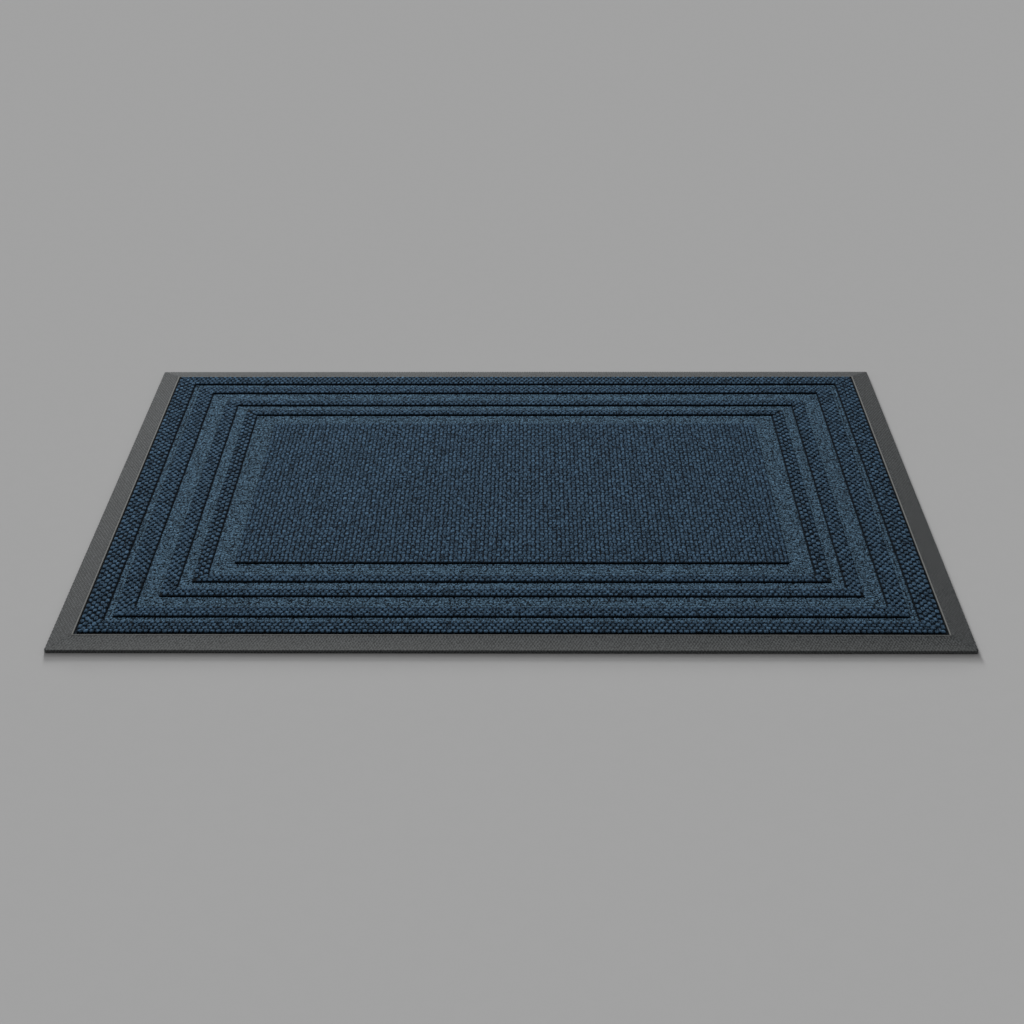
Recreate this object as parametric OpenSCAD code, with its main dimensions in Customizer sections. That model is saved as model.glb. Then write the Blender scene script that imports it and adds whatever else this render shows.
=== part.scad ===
// Rubber-edged door mat with a carpet face of raised concentric pile bands.
// Origin: centre of the underside, on the floor. X runs along the long side, Y runs away
// from the front edge and Z is up. Sizes are in millimetres.

/* [Overall size] */
// Long side of the mat, over the rubber border.
mat_w = 820; // [500:10:1500]
// Short side of the mat, over the rubber border.
mat_d = 600; // [420:10:1200]
// Radius of the mat's four outer corners, seen from above.
mat_corner_r = 2; // [0.5:0.5:8]

/* [Rubber base and border] */
// Thickness of the rubber sheet that carries the carpet.
base_t = 2; // [1:0.1:2.4]
// Width of the border from its outer face to its inner face.
border_w = 21.5; // [14:0.5:40]
// Width of the lap, where the border covers the edge of the base sheet.
lap_w = 13; // [5:0.5:13.5]
// Height of the border's thin outer face.
edge_h = 3; // [2.7:0.1:4]
// Radius of the outer top edge.
edge_r = 0.8; // [0.2:0.1:1.2]
// How far the lip along the border's inner edge stands above the floor of the grooves.
lip_above = 1; // [0.2:0.1:3]
// Radius of the rounded top of the lip.
lip_r = 1; // [0.5:0.1:1.5]
// How far the lip stands above the end of the ramp.
lip_rise = 0.5; // [0.1:0.1:0.5]

/* [Carpet layers] */
// Thickness of the latex coat between the carpet and the base sheet.
latex_t = 0.4; // [0.2:0.1:1]
// Thickness of the ground cloth, up to the floor of the grooves.
ground_t = 3; // [1.5:0.1:3.5]
// Height of the raised pile above the ground cloth.
pile_h = 2.4; // [1:0.1:5]

/* [Pile bands, from the border inward] */
// Gap between the border and the outermost band.
channel_w = 4; // [1:0.5:8]
// Width of the outermost band.
band_1_w = 17.5; // [8:0.5:25]
// Width of the groove inside the outermost band.
groove_1_w = 8; // [3:0.5:12]
// Width of the second band.
band_2_w = 16.5; // [8:0.5:25]
// Width of the groove inside the second band.
groove_2_w = 19; // [8:0.5:24]
// Width of the third band.
band_3_w = 13.5; // [8:0.5:20]
// Width of the groove inside the third band.
groove_3_w = 12.5; // [5:0.5:18]
// Width of the innermost band.
band_4_w = 12.5; // [8:0.5:20]
// Width of the groove round the centre panel.
groove_4_w = 22.5; // [8:0.5:28]
// Corner radius of the outermost band, outside and inside.
outer_band_r = 4.5; // [1:0.5:7]
// Corner radius of the other bands and of the centre panel.
inner_band_r = 1.5; // [0.5:0.5:3.5]

/* [Clearances] */
// Gap between the carpet's cut edge and the border's inner face.
carpet_gap = 0.3; // [0.1:0.1:1]
// Gap between the base sheet's edge and the step in the border above it.
base_gap = 0.2; // [0.1:0.1:0.5]

/* [Hidden] */
$fn = 48;

rubber_colour = [0.13, 0.13, 0.13];
latex_colour = [0.78, 0.75, 0.66];
ground_colour = [0.07, 0.12, 0.18];
pile_colour = [0.04, 0.08, 0.12];

band_w = [band_1_w, band_2_w, band_3_w, band_4_w];
groove_w = [channel_w, groove_1_w, groove_2_w, groove_3_w, groove_4_w];
band_r = [outer_band_r, inner_band_r, inner_band_r, inner_band_r];

// Where the base sheet's edge stops, measured in from the outer face.
step_in = border_w - lap_w;
latex_z = base_t;
ground_z = latex_z + latex_t;
pile_z = ground_z + ground_t;
lip_h = pile_z + lip_above;
ramp_end_h = lip_h - lip_rise;

// Distance from the outer face to the outer edge of a band, counting from 0 at the border.
// The centre panel comes after the last band.
function band_in(i) = i == 0
  ? border_w + groove_w[0]
  : band_in(i - 1) + band_w[i - 1] + groove_w[i];

// A rectangle centred on the origin with round corners.
module rounded_plan(w, d, r) {
  square([w - 2 * r, d], center = true);
  square([w, d - 2 * r], center = true);
  for (sx = [-1, 1], sy = [-1, 1]) {
    translate([sx * (w / 2 - r), sy * (d / 2 - r)])
      circle(r = r);
  }
}

// The mat's own outline, moved in by a distance on every side.
module mat_plan(inset, r) {
  rounded_plan(mat_w - 2 * inset, mat_d - 2 * inset, r);
}

// The border cut across: the outer face is at x = 0 and the floor at y = 0.
module border_section() {
  polygon([
    [0, 0],
    [step_in, 0],
    [step_in, base_t],
    [border_w, base_t],
    [border_w, lip_h - lip_r],
    [border_w - lip_r, ramp_end_h],
    [edge_r, edge_h],
    [0, edge_h - edge_r]
  ]);
  translate([edge_r, edge_h - edge_r])
    circle(r = edge_r);
  translate([border_w - lip_r, lip_h - lip_r])
    circle(r = lip_r);
}

// A border strip along the front of a mat of the given length and depth, with mitred ends.
module border_strip(length, depth) {
  intersection() {
    translate([-length / 2, -depth / 2, 0])
      rotate([90, 0, 90])
        linear_extrude(height = length)
          border_section();
    linear_extrude(height = lip_h)
      intersection() {
        polygon([
          [-length / 2, -depth / 2],
          [length / 2, -depth / 2],
          [length / 2 - border_w, -depth / 2 + border_w],
          [-length / 2 + border_w, -depth / 2 + border_w]
        ]);
        rounded_plan(length, depth, mat_corner_r);
      }
  }
}

module front_border() {
  color(rubber_colour)
    border_strip(mat_w, mat_d);
}

module back_border() {
  color(rubber_colour)
    rotate([0, 0, 180])
      border_strip(mat_w, mat_d);
}

module left_border() {
  color(rubber_colour)
    rotate([0, 0, -90])
      border_strip(mat_d, mat_w);
}

module right_border() {
  color(rubber_colour)
    rotate([0, 0, 90])
      border_strip(mat_d, mat_w);
}

module rubber_base_sheet() {
  inset = step_in + base_gap;
  color(rubber_colour)
    linear_extrude(height = base_t)
      mat_plan(inset, mat_corner_r);
}

// A flat layer that fills the tray inside the border.
module tray_layer(z, t) {
  translate([0, 0, z])
    linear_extrude(height = t)
      square([
        mat_w - 2 * (border_w + carpet_gap),
        mat_d - 2 * (border_w + carpet_gap)
      ], center = true);
}

module latex_coat() {
  color(latex_colour)
    tray_layer(latex_z, latex_t);
}

module ground_cloth() {
  color(ground_colour)
    tray_layer(ground_z, ground_t);
}

// One closed band of raised pile, counted from 0 at the border.
module pile_band(i) {
  color(pile_colour)
    translate([0, 0, pile_z])
      linear_extrude(height = pile_h)
        difference() {
          mat_plan(band_in(i), band_r[i]);
          mat_plan(band_in(i) + band_w[i], band_r[i]);
        }
}

module pile_band_1() {
  pile_band(0);
}

module pile_band_2() {
  pile_band(1);
}

module pile_band_3() {
  pile_band(2);
}

module pile_band_4() {
  pile_band(3);
}

module centre_pile() {
  color(pile_colour)
    translate([0, 0, pile_z])
      linear_extrude(height = pile_h)
        mat_plan(band_in(len(band_w)), inner_band_r);
}

rubber_base_sheet();
front_border();
back_border();
left_border();
right_border();
latex_coat();
ground_cloth();
pile_band_1();
pile_band_2();
pile_band_3();
pile_band_4();
centre_pile();
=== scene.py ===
"""Looks of the rubber-edged door mat: a moulded rubber border, raised bands and a centre
panel of knotted yarn pile, and finer knots on the ground cloth in the grooves."""

import math
from collections import namedtuple

import bpy
import numpy as np
from mathutils import Matrix, Vector


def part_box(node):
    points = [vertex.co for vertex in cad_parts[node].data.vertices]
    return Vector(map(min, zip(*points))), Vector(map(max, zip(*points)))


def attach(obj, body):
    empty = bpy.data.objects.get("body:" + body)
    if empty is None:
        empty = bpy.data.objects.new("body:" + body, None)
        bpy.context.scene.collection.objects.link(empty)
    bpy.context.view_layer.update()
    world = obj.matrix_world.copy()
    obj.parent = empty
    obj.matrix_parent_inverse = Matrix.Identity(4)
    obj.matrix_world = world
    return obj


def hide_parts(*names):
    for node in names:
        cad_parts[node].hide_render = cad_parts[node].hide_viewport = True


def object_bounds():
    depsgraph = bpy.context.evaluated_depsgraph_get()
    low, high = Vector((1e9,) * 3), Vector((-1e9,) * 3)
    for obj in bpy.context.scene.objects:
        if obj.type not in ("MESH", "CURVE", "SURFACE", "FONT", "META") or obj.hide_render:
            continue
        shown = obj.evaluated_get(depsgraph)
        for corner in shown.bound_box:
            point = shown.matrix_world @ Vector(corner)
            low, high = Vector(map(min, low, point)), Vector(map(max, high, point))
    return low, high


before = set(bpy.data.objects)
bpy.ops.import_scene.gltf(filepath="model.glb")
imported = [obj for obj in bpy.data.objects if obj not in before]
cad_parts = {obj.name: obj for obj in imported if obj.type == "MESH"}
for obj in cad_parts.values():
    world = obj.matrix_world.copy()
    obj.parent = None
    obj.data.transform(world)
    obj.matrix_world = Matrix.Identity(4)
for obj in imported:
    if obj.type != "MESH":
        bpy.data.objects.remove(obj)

cad_low, cad_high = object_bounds()

MM = 0.001
BODY = "root"
BAKE_MAP = "OFBake"  # the name of the flat layout that carries a piece's finish
TINY = 1e-9  # keeps a division away from nought

# ---- sizes, in metres -------------------------------------------------------------------

STRIP_LOW, STRIP_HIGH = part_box("front_border")
SHEET_LOW, SHEET_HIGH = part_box("rubber_base_sheet")
CLOTH_LOW, CLOTH_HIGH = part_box("ground_cloth")
PANEL_LOW, PANEL_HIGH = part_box("centre_pile")

MAT_W = cad_high.x - cad_low.x
MAT_D = cad_high.y - cad_low.y
CLOTH_W = CLOTH_HIGH.x - CLOTH_LOW.x
CLOTH_D = CLOTH_HIGH.y - CLOTH_LOW.y
PILE_LOW = PANEL_LOW.z
PILE_TOP = PANEL_HIGH.z

BAND_WIDTHS = [17.5 * MM, 16.5 * MM, 13.5 * MM, 12.5 * MM]  # from the border inward
BAND_CORNERS = [4.5 * MM, 1.5 * MM, 1.5 * MM, 1.5 * MM]
BAND_COUNT = len(BAND_WIDTHS)
BAND_IN = [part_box(f"pile_band_{k + 1}")[0].x - cad_low.x for k in range(BAND_COUNT)]
PANEL_IN = PANEL_LOW.x - cad_low.x
PANEL_CORNER = 1.5 * MM

# ---- shader sums ------------------------------------------------------------------------


class Wire:
    """What comes out of a shader node. Plain sums on it add the Math nodes."""

    def __init__(self, nodes, socket):
        self.nodes = nodes
        self.socket = socket

    def _sum(self, operation, first, second):
        return self.nodes.add(
            "ShaderNodeMath", {"operation": operation}, {0: first, 1: second}
        )

    def __add__(self, other):
        return self._sum("ADD", self, other)

    __radd__ = __add__

    def __sub__(self, other):
        return self._sum("SUBTRACT", self, other)

    def __rsub__(self, other):
        return self._sum("SUBTRACT", other, self)

    def __mul__(self, other):
        return self._sum("MULTIPLY", self, other)

    __rmul__ = __mul__


class Nodes:
    """The nodes of one material, or of the studio's backdrop."""

    def __init__(self, tree):
        self.tree = tree
        self.tree.nodes.clear()

    def fill(self, socket, value):
        """Links a wire to a socket, or sets a plain value on it."""
        if isinstance(value, Wire):
            self.tree.links.new(value.socket, socket)
        else:
            socket.default_value = value

    def add(self, kind, settings=(), values=(), output=0):
        """A node of any kind: its settings come first, then what its sockets take."""
        node = self.tree.nodes.new(kind)
        for key, value in dict(settings).items():
            setattr(node, key, value)
        for key, value in dict(values).items():
            self.fill(node.inputs[key], value)
        if len(node.outputs) == 0:
            return None
        return Wire(self, node.outputs[output])


class Finish(Nodes):
    """A material with one Principled surface."""

    def __init__(self, name):
        self.material = bpy.data.materials.new(name)
        self.material.use_nodes = True
        super().__init__(self.material.node_tree)
        surface = self.add("ShaderNodeBsdfPrincipled")
        self.surface = surface.socket.node
        self.add("ShaderNodeOutputMaterial", {}, {"Surface": surface})

    def attribute(self, name):
        """A fact held at the points of the mesh."""
        return self.add("ShaderNodeAttribute", {"attribute_name": name}, output="Fac")

    def place(self, stretch):
        """Coordinates on the mat in metres, stretched along each axis."""
        flat = self.add("ShaderNodeTexCoord", output="Object")
        return self.add(
            "ShaderNodeVectorMath", {"operation": "MULTIPLY"}, {0: flat, 1: stretch}
        )

    def noise(self, scale, detail, rough=0.5, stretch=(1.0, 1.0, 1.0)):
        values = {
            "Vector": self.place(stretch),
            "Scale": scale,
            "Detail": detail,
            "Roughness": rough,
        }
        return self.add("ShaderNodeTexNoise", {"noise_dimensions": "3D"}, values)

    def ramp(self, value, low, high):
        """Maps low..high smoothly to 0..1, with the ends held."""
        return self.add(
            "ShaderNodeMapRange",
            {"clamp": True, "interpolation_type": "SMOOTHSTEP"},
            {"Value": value, "From Min": low, "From Max": high},
        )

    def blend(self, share, first, second, kind="MIX"):
        """Mixes two colours. The node names its number and colour sockets alike, so its
        colour sockets go by their places: 6 and 7 going in and 2 coming out."""
        return self.add(
            "ShaderNodeMix",
            {"data_type": "RGBA", "blend_type": kind, "clamp_factor": True},
            {0: share, 6: first, 7: second},
            output=2,
        )

    def shade(self, tint, amount):
        """A colour made lighter or darker all through by a number."""
        grey = self.add("ShaderNodeCombineColor", {}, {0: amount, 1: amount, 2: amount})
        return self.blend(1.0, tint, grey, "MULTIPLY")

    def bump(self, height, distance, strength, onto=None):
        values = {"Height": height, "Distance": distance, "Strength": strength}
        if onto is not None:
            values["Normal"] = onto
        return self.add("ShaderNodeBump", {}, values)

    def show(self, **values):
        """Sets the surface's sockets: an underscore in a name stands for a space."""
        for key, value in values.items():
            self.fill(self.surface.inputs[key.replace("_", " ")], value)
        return self.material


def colour(red, green, blue):
    """A colour given as linear light."""
    return (red, green, blue, 1.0)


# ---- finishes ---------------------------------------------------------------------------


def yarn_finish(name, deep, body, crown_highlight, shade_below, fleck=0.5):
    """Knotted synthetic yarn, flecked by the twist of its plies. Its colour holds painted shade
    low down between the knots and a painted highlight on their crowns."""
    f = Finish(name)
    tone_and_shade = f.attribute("tone_and_shade")
    rise = f.attribute("rise")
    patches = f.noise(14.0, detail=3.0)
    twist = f.noise(720.0, detail=2.0, rough=0.6, stretch=(1.0, 0.6, 1.0))
    plies = f.ramp(twist, low=0.34, high=0.66)
    fibres = f.noise(1700.0, detail=3.0, rough=0.6, stretch=(1.0, 0.45, 1.0))

    # Painted shade from the deep colour low on each knot, and a painted highlight from the
    # crown colour on its top.
    depth = f.ramp(rise, shade_below[0], shade_below[1])
    crown = f.ramp(rise, low=0.4, high=1.0)
    shaded_strand = f.blend(depth, deep, f.blend(crown, body, crown_highlight))
    # Each knot is a little lighter or darker at random; knots that dive are darker, as painted
    # shade.
    knot_by_knot = (tone_and_shade - 0.5) * (1.3 * fleck)
    ply_by_ply = (plies - 0.5) * (1.9 * fleck)
    shift = 0.8 + knot_by_knot + ply_by_ply + patches * 0.2 + (fibres - 0.5) * 0.2
    relief = f.bump(plies, distance=0.35 * MM, strength=0.7)
    return f.show(
        Base_Color=f.shade(shaded_strand, shift),
        Roughness=0.78 + fibres * 0.2,
        Normal=f.bump(fibres, distance=0.2 * MM, strength=0.5, onto=relief),
        Sheen_Weight=0.04,
        Sheen_Roughness=0.45,
        Sheen_Tint=colour(0.45, 0.65, 0.9),
        Specular_IOR_Level=0.12,
    )


def pile_yarn():
    """The yarn of the raised bands and the panel."""
    return yarn_finish(
        "navy_loop_pile",
        # The darkest colour is painted shade low between the knots, and the palest a painted
        # highlight on their crowns.
        deep=colour(0.008, 0.018, 0.031),
        body=colour(0.032, 0.068, 0.113),
        crown_highlight=colour(0.065, 0.127, 0.201),
        shade_below=(0.0, 0.75),
        fleck=0.6,
    )


def ground_yarn():
    """The paler, more flecked yarn in the grooves."""
    return yarn_finish(
        "navy_ground_cloth",
        # The darkest colour is painted shade low between the knots, and the palest a painted
        # highlight on their crowns.
        deep=colour(0.032, 0.067, 0.105),
        body=colour(0.060, 0.115, 0.172),
        crown_highlight=colour(0.082, 0.150, 0.219),
        shade_below=(-0.2, 0.6),
        fleck=0.85,
    )


def shaded_root_yarn():
    """The cloth that the knots stand on. Its near-black colour is painted shade, for the holes
    and crevices where it shows between the knots.
    """
    return yarn_finish(
        "navy_woven_root",
        deep=colour(0.004, 0.008, 0.013),
        body=colour(0.008, 0.015, 0.024),
        crown_highlight=colour(0.012, 0.022, 0.034),
        shade_below=(0.0, 0.55),
    )


def rubber_finish(name, low, high, pale_wear_and_highlight, grain_scale):
    """Moulded rubber with a fine grain. Where the mesh holds nub heights, its colour has
    painted shade between the nubs and a painted highlight on their tops; it is paler where the
    rubber is scuffed, and along the lip's top, a painted highlight.
    """
    f = Finish(name)
    grain = f.noise(grain_scale, detail=4.0, rough=0.65)
    cloudy = f.noise(9.0, detail=4.0, rough=0.55)
    # Painted shade between the nubs and a painted highlight on their tops.
    nubs = f.ramp(f.attribute("nub") + (grain - 0.5) * 3.2, 0.1, 0.95)
    # Scuffing, and a painted highlight along the lip's top.
    rubbed_and_highlit = f.ramp(f.attribute("wear_and_highlight") + (grain - 0.5) * 0.3, 0.0, 1.0)
    moulded = f.blend(rubbed_and_highlit, f.blend(nubs, low, high), pale_wear_and_highlight)
    return f.show(
        Base_Color=f.shade(moulded, 0.78 + cloudy * 0.24 + grain * 0.2),
        Roughness=0.48 + grain * 0.14 + cloudy * 0.06,
        Normal=f.bump(grain, distance=0.12 * MM, strength=0.5),
        Specular_IOR_Level=0.32,
    )


def border_rubber():
    return rubber_finish(
        "black_border_rubber",
        # The dark colour is painted shade between the nubs, the light one a painted highlight
        # on their tops, and the palest both scuffing and the painted highlight along the lip.
        low=colour(0.021, 0.024, 0.025),
        high=colour(0.131, 0.141, 0.145),
        pale_wear_and_highlight=colour(0.230, 0.236, 0.228),
        grain_scale=760.0,
    )


def base_rubber():
    return rubber_finish(
        "black_base_rubber",
        low=colour(0.035, 0.036, 0.037),
        high=colour(0.050, 0.051, 0.052),
        pale_wear_and_highlight=colour(0.06, 0.06, 0.06),
        grain_scale=500.0,
    )


def cured_latex():
    return rubber_finish(
        "cured_latex",
        low=colour(0.50, 0.46, 0.37),
        high=colour(0.60, 0.55, 0.45),
        pale_wear_and_highlight=colour(0.62, 0.58, 0.48),
        grain_scale=300.0,
    )


def floor_finish():
    f = Finish("studio_floor")
    speckle = f.noise(60.0, detail=2.0)
    tint = f.blend(speckle, colour(0.5, 0.5, 0.5), colour(0.51, 0.51, 0.51))
    return f.show(Base_Color=tint, Roughness=0.95, Specular_IOR_Level=0.0)


# ---- mesh building ----------------------------------------------------------------------


def build_mesh(name, points, face_groups, material, flat_map=None, facts=None, flat_last=False):
    """A piece from points and from arrays of faces, each array with its own side count.
    flat_map gives every face corner its place in the flat layout, and facts are named
    numbers held at the points. flat_last leaves the last array's faces unsmoothed."""
    mesh = bpy.data.meshes.new(name)
    mesh.vertices.add(len(points))
    mesh.vertices.foreach_set("co", np.asarray(points, np.float32).ravel())
    corners = np.concatenate([g.ravel() for g in face_groups]).astype(np.int32)
    sides = np.concatenate([np.full(len(g), g.shape[1]) for g in face_groups])
    starts = np.concatenate([[0], np.cumsum(sides)[:-1]]).astype(np.int32)
    mesh.loops.add(len(corners))
    mesh.loops.foreach_set("vertex_index", corners)
    mesh.polygons.add(len(starts))
    mesh.polygons.foreach_set("loop_start", starts)
    smooth = np.ones(len(starts), bool)
    if flat_last:
        smooth[-len(face_groups[-1]):] = False
    mesh.polygons.foreach_set("use_smooth", smooth)
    if flat_map is not None:
        layer = mesh.uv_layers.new(name=BAKE_MAP)
        layer.data.foreach_set("uv", np.asarray(flat_map, np.float32).ravel())
    for key, values in (facts or {}).items():
        held = mesh.attributes.new(key, "FLOAT", "POINT")
        held.data.foreach_set("value", np.asarray(values, np.float32))
    mesh.update(calc_edges=True)
    mesh.materials.append(material)
    piece = bpy.data.objects.new(name, mesh)
    bpy.context.scene.collection.objects.link(piece)
    return piece


def tube_quads(near, far):
    """Faces between neighbouring closed rings of points, given by their numbers."""
    quads = np.stack([near, far, np.roll(far, -1, axis=1), np.roll(near, -1, axis=1)], -1)
    return quads.reshape(-1, 4)


def keep_piece(piece, nodes):
    """Joins a piece to the mat's one body, in place of the nodes that it stands for."""
    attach(piece, BODY)
    if nodes:
        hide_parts(*nodes)
    return piece


SIDES = ("front", "right", "back", "left")


def runs_across(side):
    """True for the front and the back, which run across the mat's width."""
    return side in ("front", "back")


def side_length(side):
    return MAT_W if runs_across(side) else MAT_D


def on_mat(side, along, inward):
    """Mat coordinates of points given along a side and inward from its outer face."""
    if side == "front":
        return along, inward - MAT_D / 2
    if side == "back":
        return -along, MAT_D / 2 - inward
    if side == "right":
        return MAT_W / 2 - inward, along
    return inward - MAT_W / 2, -along


# ---- rubber border ----------------------------------------------------------------------

BORDER_W = STRIP_HIGH.y - STRIP_LOW.y
BORDER_STEP = 0.7 * MM  # between points along a strip and up its ramp
MITRE_GAP = 0.04 * MM  # how far short of its mitre each strip stops, along its length
CORNER_R = 2.0 * MM

EDGE_H = 3.0 * MM
EDGE_R = 0.8 * MM
FACE_STEP = 0.6 * MM
LIP_R = 1.0 * MM
LIP_TOP = STRIP_HIGH.z
RAMP_IN = BORDER_W - 3.6 * LIP_R  # where the ramp ends and the lip begins
RAMP_TOP = LIP_TOP - 0.5 * MM - 0.1 * MM
BASE_TOP = SHEET_HIGH.z
LAP_GAP = 0.2 * MM
STEP_IN = SHEET_LOW.x - cad_low.x - LAP_GAP
PLAIN_POINTS = 4  # the section's last points, low on its inner face and underneath

NUB_ACROSS = 2.87 * MM
NUB_DEEP = 5.6 * MM
NUB_H = 0.25 * MM
EDGE_NUB_H = 1.5 * NUB_H  # the nubs nearest the outer face stand taller
EDGE_NUBS_END = 1.2 * MM
NUB_LEVEL = 0.45  # the nub height that lies level with the plain rubber
NUBS_END = BORDER_W - 1.8 * LIP_R

SIDE_SHADE = 0.12  # painted shade: how much darker the left and right strips' nubs are
STEPPED_ON = 0.3
# Where the painted highlight along the lip's top begins, and how far in it fades.
LIP_HIGHLIGHT_IN = BORDER_W - 1.5 * LIP_R
LIP_HIGHLIGHT_FADE = 0.5 * LIP_R

STRIP_LAYOUT = 0.97  # share of the flat layout that a strip's long faces fill
STRIP_MARGIN = 0.01
STRIP_ENDS_AT = 0.99  # the corner of the layout that both mitre faces share


def arc(centre, radius, start, end, count):
    """Points of a round stretch of a section, by angle in degrees."""
    turn = np.radians(np.linspace(start, end, count))
    return [(centre[0] + radius * math.cos(a), centre[1] + radius * math.sin(a)) for a in turn]


def stretch(first, last, step):
    """Points from first up to but not including last, evenly spaced."""
    first, last = np.array(first), np.array(last)
    count = max(1, int(round(np.linalg.norm(last - first) / step)))
    return [tuple(first + (last - first) * k / count) for k in range(count)]


def border_section():
    """The border cut across, outer face first: (inward, height) points round the section."""
    edge = (EDGE_R, EDGE_H - EDGE_R)
    ramp_low = (EDGE_R + 0.4 * MM, EDGE_H + 0.05 * MM)
    ramp_high = (RAMP_IN, RAMP_TOP)
    lip = (BORDER_W - LIP_R, LIP_TOP - LIP_R)
    points = [(0.0, 0.0)]
    points += stretch((0.0, 0.15 * MM), (0.0, edge[1]), FACE_STEP)
    points += arc(edge, EDGE_R, 180, 100, 4)
    points += stretch(ramp_low, ramp_high, BORDER_STEP)
    points += [ramp_high]
    points += arc(lip, LIP_R, 120, 0, 8)
    points += stretch((BORDER_W, lip[1] - 0.3 * MM), (BORDER_W, BASE_TOP), 1.0 * MM)
    points += [(BORDER_W, BASE_TOP), (STEP_IN, BASE_TOP), (STEP_IN, 0.0)]
    return np.array(points)


def section_normals(section):
    """Which way the rubber faces at each point of the section."""
    step = np.roll(section, -1, axis=0) - np.roll(section, 1, axis=0)
    normal = np.stack([-step[:, 1], step[:, 0]], 1)
    normal /= np.maximum(np.linalg.norm(normal, axis=1, keepdims=True), TINY)
    return normal


def nub_height(x, y):
    """Small lozenge nubs moulded in the rubber, all pointing the same way, from 0 to 1."""
    across = np.cos(2 * np.pi * x / NUB_ACROSS)
    deep = np.cos(2 * np.pi * y / NUB_DEEP)
    return 0.5 + 0.5 * across * deep


def round_outer_corners(x, y):
    """Bends the square outer corners into round ones."""
    cx, cy = MAT_W / 2 - CORNER_R, MAT_D / 2 - CORNER_R
    a, b = np.abs(x) - cx, np.abs(y) - cy
    inside = (a > 0) & (b > 0)
    reach = np.where(inside, np.maximum(a, b) / np.maximum(np.hypot(a, b), TINY), 1.0)
    x = np.where(inside, np.sign(x) * (cx + a * reach), x)
    y = np.where(inside, np.sign(y) * (cy + b * reach), y)
    return x, y


def strip_layout(section, run, share):
    """The flat layout of a strip's long faces: the strip unrolled, along it and round it."""
    full = run[-1] + np.linalg.norm(section[0] - section[-1])
    row_at = np.append(run, full) / full
    u = (share + 1) / 2
    shape = (len(share) - 1, len(section))
    u_near = np.broadcast_to(u[:-1, None], shape)
    u_far = np.broadcast_to(u[1:, None], shape)
    v_low = np.broadcast_to(row_at[None, :-1], shape)
    v_high = np.broadcast_to(row_at[None, 1:], shape)
    layout = np.stack([u_near, v_low, u_far, v_low, u_far, v_high, u_near, v_high], -1)
    return layout.reshape(-1, 2) * STRIP_LAYOUT + STRIP_MARGIN


def strip_wear_and_highlight(side, inward, height, top):
    """How pale the rubber is at each point of the section, from 0 to 1: a painted highlight
    along the lip's top, and rubber scuffed by feet on the front and back strips.
    """
    # A painted highlight along the lip's rounded top.
    wear_and_highlight = np.clip((inward - LIP_HIGHLIGHT_IN) / LIP_HIGHLIGHT_FADE, 0, 1)
    wear_and_highlight *= height > LIP_TOP - 0.5 * LIP_R
    if runs_across(side):
        # Feet step over these two strips, so they are paler, most of all at the outer edge.
        wear_and_highlight = np.maximum(wear_and_highlight, STEPPED_ON * (1 - inward / BORDER_W) * top)
    return wear_and_highlight


def border_strip(side, material):
    """One strip, mitred at both ends: its section run along the side, with nubs raised on
    its outer face and its ramp."""
    section = border_section()
    inward, height = section[:, 0], section[:, 1]
    length = side_length(side)
    columns = int(round(length / BORDER_STEP)) + 1
    share = np.linspace(-1, 1, columns)
    along = share[:, None] * (length / 2 - inward[None, :] - MITRE_GAP)

    run = np.concatenate([[0], np.cumsum(np.linalg.norm(np.diff(section, axis=0), axis=1))])
    top = (height > 0.1 * MM) & (inward < NUBS_END)
    top &= np.arange(len(section)) < len(section) - PLAIN_POINTS
    nub = nub_height(*on_mat(side, along, run[None, :]))
    nub = np.where(top[None, :], nub, NUB_LEVEL)
    tall = np.where(inward < EDGE_NUBS_END, EDGE_NUB_H, NUB_H)
    rise = (nub - NUB_LEVEL) * top[None, :] * tall[None, :]
    normal = section_normals(section)
    spots_in = inward[None, :] + normal[None, :, 0] * rise
    spots_up = height[None, :] + normal[None, :, 1] * rise
    x, y = round_outer_corners(*on_mat(side, along, spots_in))
    points = np.stack([x, y, spots_up], -1).reshape(-1, 3)

    grid = np.arange(columns * len(section)).reshape(columns, len(section))
    quads = tube_quads(grid[:-1], grid[1:])
    ends = np.stack([grid[0], grid[-1][::-1]])
    end_layout = np.zeros((ends.size, 2)) + STRIP_ENDS_AT
    wear_and_highlight = np.broadcast_to(strip_wear_and_highlight(side, inward, height, top)[None, :], along.shape)
    # The left and right strips get painted shade on their nubs.
    side_shade = 0.0 if runs_across(side) else SIDE_SHADE
    return build_mesh(
        f"{side}_border_rubber",
        points,
        [quads, ends],
        material,
        np.concatenate([strip_layout(section, run, share), end_layout]),
        {"wear_and_highlight": wear_and_highlight.ravel(), "nub": nub.ravel() - side_shade},
    )


# ---- cloth slabs ------------------------------------------------------------------------

SOFT_EDGE = 0.35 * MM
CORNER_STEPS = 6
OUTLINE_STEP = 12 * MM
CORNERS = ((1, -1), (1, 1), (-1, 1), (-1, -1))


def rounded_outline(half_w, half_d, radius):
    """Points round a rectangle with round corners. Every outline has the same count."""
    corners = []
    for quarter, (sx, sy) in enumerate(CORNERS):
        centre = np.array([sx * (half_w - radius), sy * (half_d - radius)])
        start = 90 * quarter - 90
        turn = np.radians(np.linspace(start, start + 90, CORNER_STEPS + 1))
        corners.append(centre + radius * np.stack([np.cos(turn), np.sin(turn)], -1))
    points = []
    for quarter, corner in enumerate(corners):
        first, last = corner[-1], corners[(quarter + 1) % 4][0]
        side = MAT_D if quarter in (0, 2) else MAT_W
        count = int(side / OUTLINE_STEP)
        points += list(corner)
        points += [first + (last - first) * k / count for k in range(1, count)]
    return np.array(points)


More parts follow.
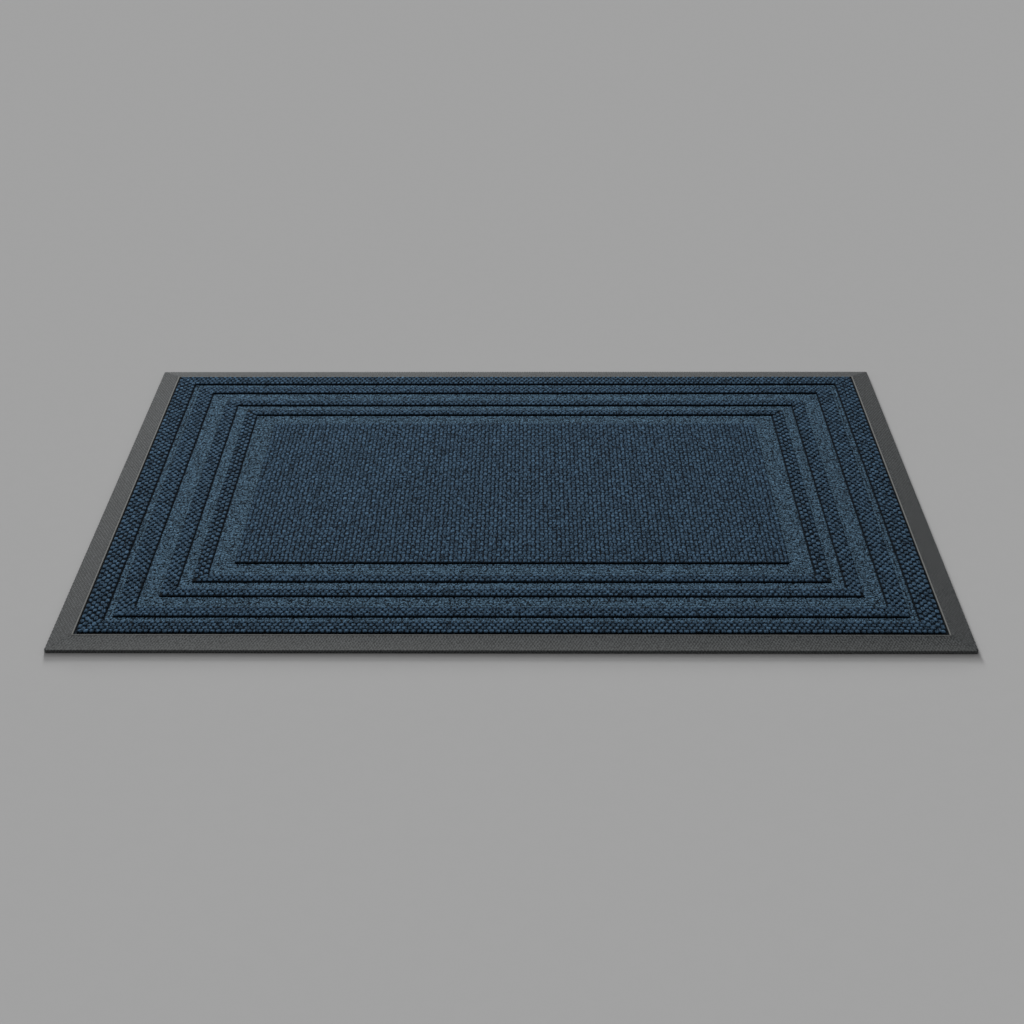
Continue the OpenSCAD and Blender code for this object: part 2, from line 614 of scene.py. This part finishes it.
def stacked_rings(half_w, half_d, radius, section):
    """A slab's points, one ring for each point of its section, and the grid of their
    numbers."""
    rings = []
    for inward, height in section:
        ring = rounded_outline(half_w - inward, half_d - inward, radius)
        rings.append(np.column_stack([ring, np.full(len(ring), height)]))
    count, rows = len(rings[0]), len(section)
    points = np.stack(rings, 1).reshape(-1, 3)
    return points, np.arange(count * rows).reshape(count, rows)


def band_slab(name, inset, width, radius, low, high, material):
    """The closed foot of a pile band, with softly rounded top edges."""
    tuck_in, tuck_up = 0.25 * MM, 0.3 * MM
    section = [
        (tuck_in, low),
        (0.0, low + tuck_up),
        (0.0, high - SOFT_EDGE),
        (SOFT_EDGE, high),
        (width - SOFT_EDGE, high),
        (width, high - SOFT_EDGE),
        (width, low + tuck_up),
        (width - tuck_in, low),
    ]
    points, grid = stacked_rings(MAT_W / 2 - inset, MAT_D / 2 - inset, radius, section)
    quads = tube_quads(grid, np.roll(grid, -1, axis=0))
    # The whole foot takes the root's darkest colour: painted shade where it shows between the
    # knots.
    rise = np.zeros(len(points))
    return build_mesh(name, points, [quads], material, None, {"rise": rise, "tone_and_shade": rise + 0.4})


def panel_slab(name, half_w, half_d, radius, low, high, material, rise_at_top=0.0):
    """A closed flat slab of cloth with softly rounded edges."""
    section = [
        (SOFT_EDGE, low),
        (0.0, low + SOFT_EDGE),
        (0.0, high - SOFT_EDGE),
        (SOFT_EDGE, high),
    ]
    points, grid = stacked_rings(half_w, half_d, radius, section)
    after = np.roll(grid, -1, axis=0)
    quads = np.stack([grid[:, :-1], after[:, :-1], after[:, 1:], grid[:, 1:]], -1)
    caps = np.stack([grid[:, -1], grid[::-1, 0]])
    # The sides take the root's darkest colour, painted shade, and the top is lighter by
    # rise_at_top.
    rise = np.where(points[:, 2] > low + SOFT_EDGE, rise_at_top, 0.0)
    facts = {"rise": rise, "tone_and_shade": np.full(len(points), 0.5)}
    faces = [quads.reshape(-1, 4), caps]
    return build_mesh(name, points, faces, material, None, facts, flat_last=True)


# ---- knots of yarn ----------------------------------------------------------------------

PLUMPNESS = 0.65  # under 1, a knot's sides rise more steeply before they round over
SQUARENESS = 0.6  # under 1, a knot is squarer seen from above
SIZE_SPREAD = 0.06
TURN_SPREAD = 8  # degrees
TONE_MIDDLE, TONE_SPREAD = 0.6, 0.16
TONE_MOST, FLECKED_MOST = 1.2, 1.3
SUNK_SHRINK = 0.5  # how much smaller a knot that dives fully is
# A knot that dives is painted darker, as shade from the knots that pass over it.
SUNK_SHADE = 0.35
HEIGHT_SHARE = 0.8  # share of the spread in size that a knot's height takes
END_RISE, TOP_RISE, RISE_CUT = 0.4, 0.75, 0.15  # a knot is painted darkest low down at its two ends, as shade, and lightest at its top, as a highlight
FLECK = 0.7  # how far the tone wanders over one knot
PAST_MITRE = 0.2  # share of a knot's half length that its middle may lie past the mitre

RING_OVERRUN = 1.01  # room in the layout for the knots just past a run's ends
LANE_LOW, LANE_SHARE = 0.14, 0.72  # where a run's inset and width fall in its quarter
LANE_SPILL = 0.12  # how far, in widths, knots may stand outside the run
KNOT_LAYOUT = 0.97
KNOT_MARGIN = 0.025
KNOT_FEET_AT = 0.005  # the corner of the layout that all the hidden undersides share

# Rows are about row_step apart, and the knots of a row are pitch apart along it.
Weave = namedtuple("Weave", "row_step pitch half_along half_inward")


def knot_shape(sides, tiers):
    """A closed bead one unit in half width, half length and height: points and faces."""
    turn = (np.arange(sides) + 0.5) * 2 * np.pi / sides
    across = np.sign(np.cos(turn)) * np.abs(np.cos(turn)) ** SQUARENESS
    length = np.sign(np.sin(turn)) * np.abs(np.sin(turn)) ** SQUARENESS
    points = []
    for tier in range(tiers):
        lift = math.radians(90 * tier / tiers)
        reach = math.cos(lift) ** PLUMPNESS
        points += [(reach * a, reach * b, math.sin(lift)) for a, b in zip(across, length)]
    points.append((0.0, 0.0, 1.0))
    grid = np.arange(sides * tiers).reshape(tiers, sides)
    low, high = grid[:-1], grid[1:]
    quads = np.stack([low, np.roll(low, -1, 1), np.roll(high, -1, 1), high], -1)
    apex = np.full(sides, sides * tiers)
    crown = np.stack([grid[-1], np.roll(grid[-1], -1), apex], -1)
    foot = grid[0][::-1][None]
    return np.array(points), [quads.reshape(-1, 4), crown, foot]


class Spots:
    """Where the knots of a piece stand: along and inward from each side, and their sizes."""

    def __init__(self, seed, shake, dive):
        self.random = np.random.default_rng(seed)
        self.shake = shake
        self.dive = dive
        self.rows = []

    def add(self, side, along, inward, half_along, half_inward, over, low, high):
        """One row of knots. over is 1 where the yarn passes over its neighbours, 0 where it
        dives under them, and may lie between. No knot reaches outside low and high."""
        n = len(along)
        shift = self.random.normal(0, self.shake, (n, 2))
        sizes = 1 + self.random.normal(0, SIZE_SPREAD, (n, 3))
        sunk = self.dive * (1 - over)
        wide = half_along * sizes[:, 0] * (1 - SUNK_SHRINK * sunk)
        deep = half_inward * sizes[:, 1] * (1 - SUNK_SHRINK * sunk)
        near = np.maximum(inward + shift[:, 1] - deep, low)
        far = np.minimum(inward + shift[:, 1] + deep, high)
        height = (1 - SUNK_SHRINK * sunk) * (1 + (sizes[:, 2] - 1) * HEIGHT_SHARE)
        turn = np.radians(self.random.normal(0, TURN_SPREAD, n))
        # Painted shade on the knots that dive.
        tone_and_shade = self.random.normal(TONE_MIDDLE, TONE_SPREAD, n) - SUNK_SHADE * sunk
        self.rows.append(
            {
                "side": side,
                "along": along + shift[:, 0],
                "inward": (near + far) / 2,
                "half_along": wide,
                "half_inward": (far - near) / 2,
                "height": height,
                "turn": turn,
                "tone_and_shade": np.clip(tone_and_shade, 0, TONE_MOST),
            }
        )


def fit(width, step):
    """How many rows about one step apart fill the width."""
    return max(1, int(round(width / step)))


def fill_ring(spots, inset, width, weaves, spread=0.0):
    """Rows of knots round the mat, each row half a knot on from the last, cut at the
    mitres. weaves is (front and back, sides), and spread widens the rows outward."""
    outer, wide = inset - spread, width + spread
    for side in SIDES:
        weave = weaves[0] if runs_across(side) else weaves[1]
        count = fit(width, weave.row_step)
        step = wide / count
        for row in range(count):
            inward = outer + step * (row + 0.5)
            limit = side_length(side) / 2 - inward + PAST_MITRE * weave.half_along
            reach = int(limit / weave.pitch) + 1
            place = weave.pitch * (np.arange(-reach, reach + 1) + 0.5 * (row % 2))
            place = place[np.abs(place) < limit]
            over = spots.random.uniform(0, 1, len(place))
            spots.add(
                side,
                place,
                inward,
                weave.half_along,
                weave.half_inward,
                over,
                low=outer,
                high=outer + wide,
            )


def stand_knots(shape, row, base, height):
    """Each knot of a row turned, sized and stood on the base: along, inward and up."""
    c, s = np.cos(row["turn"])[:, None], np.sin(row["turn"])[:, None]
    a = shape[None, :, 0] * row["half_along"][:, None]
    b = shape[None, :, 1] * row["half_inward"][:, None]
    along = row["along"][:, None] + c * a - s * b
    inward = row["inward"][:, None] + s * a + c * b
    up = base + shape[None, :, 2] * height * row["height"][:, None]
    return along, inward, up


def ring_layout(side, along, inward, span):
    """The flat layout of a ring's knots: its four runs unrolled, one above another."""
    inset, width = span
    u = 0.5 + along / (side_length(side) * RING_OVERRUN)
    lane = np.clip((inward - inset) / width, -LANE_SPILL, 1 + LANE_SPILL)
    v = (SIDES.index(side) + LANE_LOW + LANE_SHARE * lane) / len(SIDES)
    return np.stack([u, v], -1)


def panel_layout(x, y):
    """The flat layout of the panel's knots, as they lie."""
    return np.stack([0.5 + x / MAT_W, 0.5 + y / MAT_D], -1)


def knots_piece(name, spots, base, height, sides, tiers, material, span):
    """Knots of yarn at the spots. span is the (inset, width) that the flat layout unrolls,
    or None for the panel, whose knots lie the other way."""
    shape, faces = knot_shape(sides, tiers)
    lengthwise = shape[:, 1] if span is None else shape[:, 0]
    # Points low down and at the ends of a knot get painted shade, and its top a painted
    # highlight.
    rise = END_RISE * (1 - lengthwise**2) + TOP_RISE * shape[:, 2] - RISE_CUT
    rise = np.clip(rise, 0, 1)
    all_points, all_layout, all_tone = [], [], []
    for row in spots.rows:
        side = row["side"]
        along, inward, up = stand_knots(shape, row, base, height)
        x, y = on_mat(side, along, inward)
        fleck = spots.random.uniform(-FLECK, FLECK, up.shape)
        all_points.append(np.stack([x, y, up], -1))
        all_tone.append(np.clip(row["tone_and_shade"][:, None] + fleck, 0, FLECKED_MOST))
        if span is None:
            all_layout.append(panel_layout(x, y))
        else:
            all_layout.append(ring_layout(side, along, inward, span))

    points = np.concatenate(all_points)
    count, size = points.shape[:2]
    first = (np.arange(count) * size)[:, None, None]
    groups = [(first + g[None]).reshape(-1, g.shape[1]) for g in faces]
    layout = np.concatenate(all_layout).reshape(-1, 2) * KNOT_LAYOUT + KNOT_MARGIN
    corner_layout = [layout[g.ravel()] for g in groups[:-1]]
    corner_layout.append(np.full((groups[-1].size, 2), KNOT_FEET_AT))
    return build_mesh(
        name,
        points.reshape(-1, 3),
        groups,
        material,
        np.concatenate(corner_layout),
        {"rise": np.tile(rise, count), "tone_and_shade": np.concatenate(all_tone).ravel()},
    )


# ---- ground cloth and the knots in its grooves ------------------------------------------

CREVICE = 0.5 * MM  # left bare along each band's inner edge, where the near-black root shows as a painted shadow line
CLOTH_SINK = 0.3 * MM  # how far the plain sheet lies below the top of the solid it replaces
GROOVE_SINK = 0.5 * MM  # how far below that top the knots start
GROOVE_KNOT_H = 0.7 * MM
GROOVE_WEAVES = (
    Weave(row_step=3.4 * MM, pitch=2.8 * MM, half_along=1.9 * MM, half_inward=2.5 * MM),
    Weave(row_step=3.1 * MM, pitch=3.7 * MM, half_along=2.5 * MM, half_inward=2.2 * MM),
)


def groove_knots(k, material):
    """The low knots between band k and what lies inside it."""
    start = BAND_IN[k - 1] + BAND_WIDTHS[k - 1] + CREVICE
    end = (BAND_IN + [PANEL_IN])[k]
    spots = Spots(seed=40 + k, shake=0.45 * MM, dive=0.2)
    fill_ring(spots, start, end - start, GROOVE_WEAVES)
    piece = knots_piece(
        f"groove_{k}_ribs",
        spots,
        base=CLOTH_HIGH.z - GROOVE_SINK,
        height=GROOVE_KNOT_H,
        sides=6,
        tiers=2,
        material=material,
        span=(start, end - start),
    )
    return keep_piece(piece, [])


def ground_cloth(ground, root):
    """The sheet of cloth, and the knots that stand on it in its grooves."""
    knots = [groove_knots(k, ground) for k in range(1, BAND_COUNT + 1)]
    cloth = panel_slab(
        "ground_cloth_sheet",
        CLOTH_W / 2,
        CLOTH_D / 2,
        radius=0.5 * MM,
        low=CLOTH_LOW.z,
        high=CLOTH_HIGH.z - CLOTH_SINK,
        material=root,
        rise_at_top=0.4,
    )
    keep_piece(cloth, ["ground_cloth"])


# ---- raised bands -----------------------------------------------------------------------

KNOT_SINK = 0.25 * MM  # how deep each raised knot is set in its foot
BAND_FOOT_H = 1.1 * MM
FIRST_BAND_SPREAD = 2.2 * MM  # how far its knots reach into the gap to the border
BAND_WEAVES = (
    Weave(row_step=4.2 * MM, pitch=5.4 * MM, half_along=2.6 * MM, half_inward=2.9 * MM),
    Weave(row_step=3.65 * MM, pitch=8.9 * MM, half_along=4.1 * MM, half_inward=2.3 * MM),
)


def pile_band(k, pile, root):
    """Raised band k, counted from 0 at the border: its foot and its knots."""
    node = f"pile_band_{k + 1}"
    inset, width = BAND_IN[k], BAND_WIDTHS[k]
    foot_top = PILE_LOW + BAND_FOOT_H
    foot = band_slab(
        f"{node}_foot", inset, width, BAND_CORNERS[k], PILE_LOW, foot_top, root
    )
    spots = Spots(seed=10 + k, shake=0.15 * MM, dive=0.15)
    fill_ring(spots, inset, width, BAND_WEAVES, FIRST_BAND_SPREAD if k == 0 else 0.0)
    knots = knots_piece(
        f"{node}_loops",
        spots,
        base=foot_top - KNOT_SINK,
        height=PILE_TOP - foot_top + KNOT_SINK,
        sides=8,
        tiers=3,
        material=pile,
        span=(inset, width),
    )
    keep_piece(foot, [node])
    keep_piece(knots, [node])


# ---- centre panel -----------------------------------------------------------------------

PANEL_FOOT_H = 1.4 * MM
PANEL_ROW = 5.3 * MM  # about what a row takes up, as the next is for a column
PANEL_COLUMN = 4.15 * MM
PANEL_HALF_ALONG = 2.2 * MM
PANEL_HALF_INWARD = 3.9 * MM


def panel_half(half, first, count, row_step, columns, column_step, foot_top, pile):
    """The knots of the panel's front or back half: every other one dives."""
    front = PANEL_LOW.y + MAT_D / 2
    back = front + (PANEL_HIGH.y - PANEL_LOW.y)
    spots = Spots(seed=20 + first, shake=0.22 * MM, dive=0.6)
    place = np.arange(-columns, columns + 1)
    for row in range(first, first + count):
        spots.add(
            "front",
            column_step * place,
            front + row_step * (row + 0.5),
            PANEL_HALF_ALONG,
            PANEL_HALF_INWARD,
            over=(place + row) % 2,
            low=front,
            high=back,
        )
    knots = knots_piece(
        f"centre_pile_loops_{half}",
        spots,
        base=foot_top - KNOT_SINK,
        height=PILE_TOP - foot_top + KNOT_SINK,
        sides=8,
        tiers=3,
        material=pile,
        span=None,
    )
    return keep_piece(knots, ["centre_pile"])


def centre_panel(pile, root):
    """The panel: its foot, and its knots in two halves."""
    width, depth = PANEL_HIGH.x - PANEL_LOW.x, PANEL_HIGH.y - PANEL_LOW.y
    foot_top = PILE_LOW + PANEL_FOOT_H
    foot = panel_slab(
        "centre_pile_foot", width / 2, depth / 2, PANEL_CORNER, PILE_LOW, foot_top, root
    )
    rows = fit(depth, PANEL_ROW)
    columns = fit(width, PANEL_COLUMN) // 2
    column_step = width / (2 * columns + 1)
    knots = [
        panel_half(half, first, rows // 2, depth / rows, columns, column_step, foot_top, pile)
        for half, first in (("front", 0), ("back", rows // 2))
    ]
    keep_piece(foot, ["centre_pile"])


# ---- the mat ----------------------------------------------------------------------------


def dress_node(node, material):
    """Gives its finish to a solid that is already the right shape."""
    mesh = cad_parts[node].data
    mesh.materials.clear()
    mesh.materials.append(material)


def make_mat():
    pile = pile_yarn()
    ground = ground_yarn()
    root = shaded_root_yarn()
    rubber = border_rubber()
    sheet_rubber = base_rubber()
    latex = cured_latex()
    for side in SIDES:
        keep_piece(border_strip(side, rubber), [f"{side}_border"])
    dress_node("rubber_base_sheet", sheet_rubber)
    dress_node("latex_coat", latex)
    ground_cloth(ground, root)
    for k in range(BAND_COUNT):
        pile_band(k, pile, root)
    centre_panel(pile, root)


# ---- studio -----------------------------------------------------------------------------

FLOOR_REACH = 40.0
BACKDROP_IN_FRONT, BACKDROP_BEHIND = 0.12, 0.68
KEY_AT = (-0.60, 1.25, 1.42)
KEY_SIZE = 1.5
KEY_POWER = 17.5
CAMERA_AT = (0.0172, -1.6360, 0.8634)
CAMERA_TURN = 0.640  # degrees, as are the next two
CAMERA_DOWN = 28.397
CAMERA_ROLL = -0.285
CAMERA_LENS = 63.56
CAMERA_SENSOR = 36.0
CAMERA_SEES_TO = 120.0


def add_to_scene(thing):
    bpy.context.scene.collection.objects.link(thing)


def studio_floor():
    mesh = bpy.data.meshes.new("floor")
    far = FLOOR_REACH
    corners = [(-far, -far, 0), (far, -far, 0), (far, far, 0), (-far, far, 0)]
    mesh.from_pydata(corners, [], [(0, 1, 2, 3)])
    mesh.materials.append(floor_finish())
    floor = bpy.data.objects.new("floor", mesh)
    add_to_scene(floor)
    return floor


def backdrop():
    """Soft light from all round, brighter from behind the mat than from in front."""
    world = bpy.data.worlds.new("studio")
    bpy.context.scene.world = world
    world.use_nodes = True
    sky = Nodes(world.node_tree)
    around = sky.add("ShaderNodeTexCoord", output="Generated")
    facing = sky.add("ShaderNodeSeparateXYZ", {}, {"Vector": around}, output="Y")
    strength = sky.add(
        "ShaderNodeMapRange",
        {},
        {
            "Value": facing,
            "From Min": -0.5,
            "To Min": BACKDROP_IN_FRONT,
            "To Max": BACKDROP_BEHIND,
        },
    )
    white = colour(1, 1, 1)
    glow = sky.add("ShaderNodeBackground", {}, {"Color": white, "Strength": strength})
    sky.add("ShaderNodeOutputWorld", {}, {"Surface": glow})


def key_light():
    """A square softbox behind the mat and to the left, facing its middle."""
    lamp = bpy.data.lights.new("softbox_behind_left", "AREA")
    lamp.shape = "SQUARE"
    lamp.size = KEY_SIZE
    lamp.energy = KEY_POWER
    key = bpy.data.objects.new("softbox_behind_left", lamp)
    key.location = KEY_AT
    key.rotation_euler = key.location.to_track_quat("Z", "Y").to_euler()
    key.visible_camera = False
    add_to_scene(key)
    return key


def sun(name, azimuth, elevation, strength, spread):
    """A soft distant lamp. Azimuth 0 is straight behind the mat, and it turns to the left."""
    lamp = bpy.data.lights.new(name, "SUN")
    lamp.energy = strength
    lamp.angle = math.radians(spread)
    holder = bpy.data.objects.new(name, lamp)
    turn, lift = math.radians(azimuth), math.radians(elevation)
    towards = Vector(
        (-math.sin(turn) * math.cos(lift), math.cos(turn) * math.cos(lift), math.sin(lift))
    )
    holder.rotation_euler = towards.to_track_quat("Z", "Y").to_euler()
    add_to_scene(holder)
    return holder


def share_lights(floor, key, floor_lights):
    """The key lights the mat and not the floor, and the other lights only the floor."""
    off_floor = bpy.data.collections.new("not_lit_by_key")
    off_floor.objects.link(floor)
    off_floor.collection_objects[0].light_linking.link_state = "EXCLUDE"
    key.light_linking.receiver_collection = off_floor
    on_floor = bpy.data.collections.new("lit_by_low_lights")
    on_floor.objects.link(floor)
    for light in floor_lights:
        light.light_linking.receiver_collection = on_floor


def studio_camera():
    lens = bpy.data.cameras.new("camera")
    lens.sensor_width = CAMERA_SENSOR
    lens.lens = CAMERA_LENS
    lens.clip_end = CAMERA_SEES_TO
    camera = bpy.data.objects.new("camera", lens)
    tilt = Matrix.Rotation(math.radians(CAMERA_TURN), 4, "Z")
    tilt @= Matrix.Rotation(math.radians(90 - CAMERA_DOWN), 4, "X")
    tilt @= Matrix.Rotation(math.radians(CAMERA_ROLL), 4, "Z")
    camera.matrix_world = Matrix.Translation(CAMERA_AT) @ tilt
    add_to_scene(camera)
    bpy.context.scene.camera = camera


def make_studio():
    bpy.context.scene.view_settings.view_transform = "Standard"
    floor = studio_floor()
    backdrop()
    key = key_light()
    low = sun("low_light_across_floor", azimuth=8, elevation=10.5, strength=4.17, spread=9)
    middle = sun("soft_light_across_floor", azimuth=8, elevation=21, strength=1.3, spread=18)
    share_lights(floor, key, [low, middle])
    studio_camera()


make_mat()
make_studio()

bpy.context.view_layer.update()
